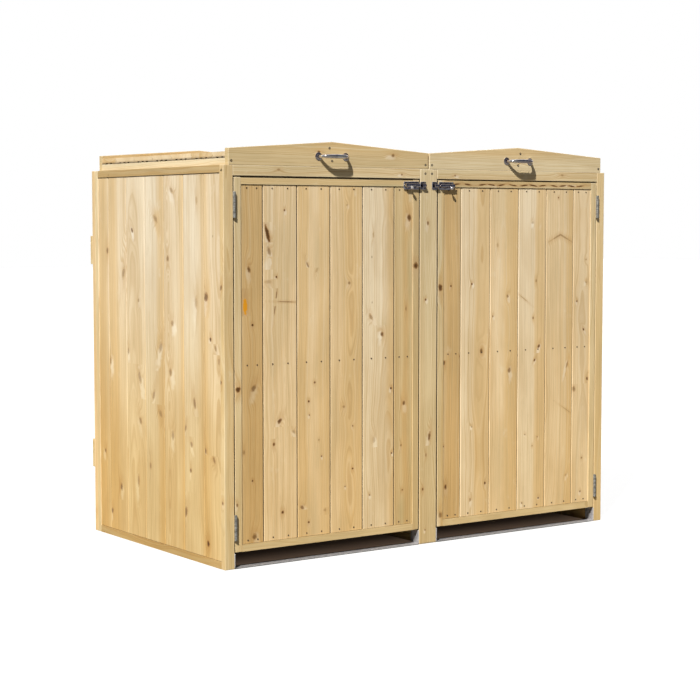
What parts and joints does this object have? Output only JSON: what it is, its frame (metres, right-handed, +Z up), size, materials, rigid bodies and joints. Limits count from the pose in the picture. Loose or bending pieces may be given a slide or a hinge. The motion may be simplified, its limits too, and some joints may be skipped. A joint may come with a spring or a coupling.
{
  "type": "wheelie bin store",
  "caption": "Boarded softwood store for two wheelie bins, with bolted front doors and shallow gabled lids that lift on hinges at the back.",
  "frame": {"origin": "on the ground under the divider, midway between the side faces and midway between the front of the posts and the back boards' outer face", "axes": "+X to the right seen from the front, +Y from the front to the back, +Z up"},
  "size_m": [1.52, 0.891, 1.276],
  "materials": {
    "framing": "planed, pressure treated",
    "boards": "planed, pressure treated",
    "roof_boards": "planed, pressure treated",
    "zinc_plate": "zinc plated",
    "galvanised": "galvanised",
    "chrome": "bright plated",
    "fixings": "dull plated"
  },
  "bodies": {
    "carcass": {"left_side_front_stile": "framing", "left_side_back_stile": "framing", "left_side_top_rail": "framing", "left_side_bottom_rail": "framing", "right_side_front_stile": "framing", "right_side_back_stile": "framing", "right_side_top_rail": "framing", "right_side_bottom_rail": "framing", "divider_back_stile": "framing", "divider_rails": "framing", "centre_post": "framing", "front_rails": "framing", "back_upper_batten": "framing", "back_lower_batten": "framing", "left_side_boards": "boards", "right_side_boards": "boards", "divider_boards": "boards", "back_boards": "boards", "threshold_straps": "galvanised", "bolt_keeps": "chrome", "door_hinge_post_leaves": "zinc_plate", "lid_hinge_back_leaves": "zinc_plate", "carcass_screws": "fixings"},
    "left_door": {"left_door_hinge_stile": "framing", "left_door_lock_stile": "framing", "left_door_top_rail": "framing", "left_door_middle_rail": "framing", "left_door_bottom_rail": "framing", "left_door_boards": "boards", "left_door_nails": "fixings", "left_door_hinge_leaves": "zinc_plate", "left_bolt_barrel": "chrome"},
    "left_bolt": {"left_bolt_rod": "chrome"},
    "left_lid": {"left_lid_front_gable": "framing", "left_lid_back_gable": "framing", "left_lid_side_battens": "framing", "left_lid_ridge_rafter": "framing", "left_lid_roof_boards": "roof_boards", "left_lid_handle": "chrome", "left_lid_hinge_leaves": "zinc_plate", "left_lid_screws": "fixings"},
    "right_door": {"right_door_hinge_stile": "framing", "right_door_lock_stile": "framing", "right_door_top_rail": "framing", "right_door_middle_rail": "framing", "right_door_bottom_rail": "framing", "right_door_boards": "boards", "right_door_nails": "fixings", "right_door_hinge_leaves": "zinc_plate", "right_bolt_barrel": "chrome"},
    "right_bolt": {"right_bolt_rod": "chrome"},
    "right_lid": {"right_lid_front_gable": "framing", "right_lid_back_gable": "framing", "right_lid_side_battens": "framing", "right_lid_ridge_rafter": "framing", "right_lid_roof_boards": "roof_boards", "right_lid_handle": "chrome", "right_lid_hinge_leaves": "zinc_plate", "right_lid_screws": "fixings"}
  },
  "joints": [
    {"name": "left_door_swing", "type": "hinge", "parent": "carcass", "child": "left_door", "pos_m": [-0.72525, -0.425, 0.6075], "axis": [0, 0, -1], "range_deg": [0, 170]},
    {"name": "right_door_swing", "type": "hinge", "parent": "carcass", "child": "right_door", "pos_m": [0.72525, -0.425, 0.6075], "axis": [0, 0, 1], "range_deg": [0, 170]},
    {"name": "left_lid_lift", "type": "hinge", "parent": "carcass", "child": "left_lid", "pos_m": [-0.3725, 0.425, 1.2], "axis": [-1, 0, 0], "range_deg": [0, 100]},
    {"name": "right_lid_lift", "type": "hinge", "parent": "carcass", "child": "right_lid", "pos_m": [0.3725, 0.425, 1.2], "axis": [-1, 0, 0], "range_deg": [0, 100]},
    {"name": "left_bolt_slide", "type": "slide", "parent": "left_door", "child": "left_bolt", "axis": [1, 0, 0], "range_m": [0, 0.018]},
    {"name": "right_bolt_slide", "type": "slide", "parent": "right_door", "child": "right_bolt", "axis": [-1, 0, 0], "range_m": [0, 0.018]}
  ]
}
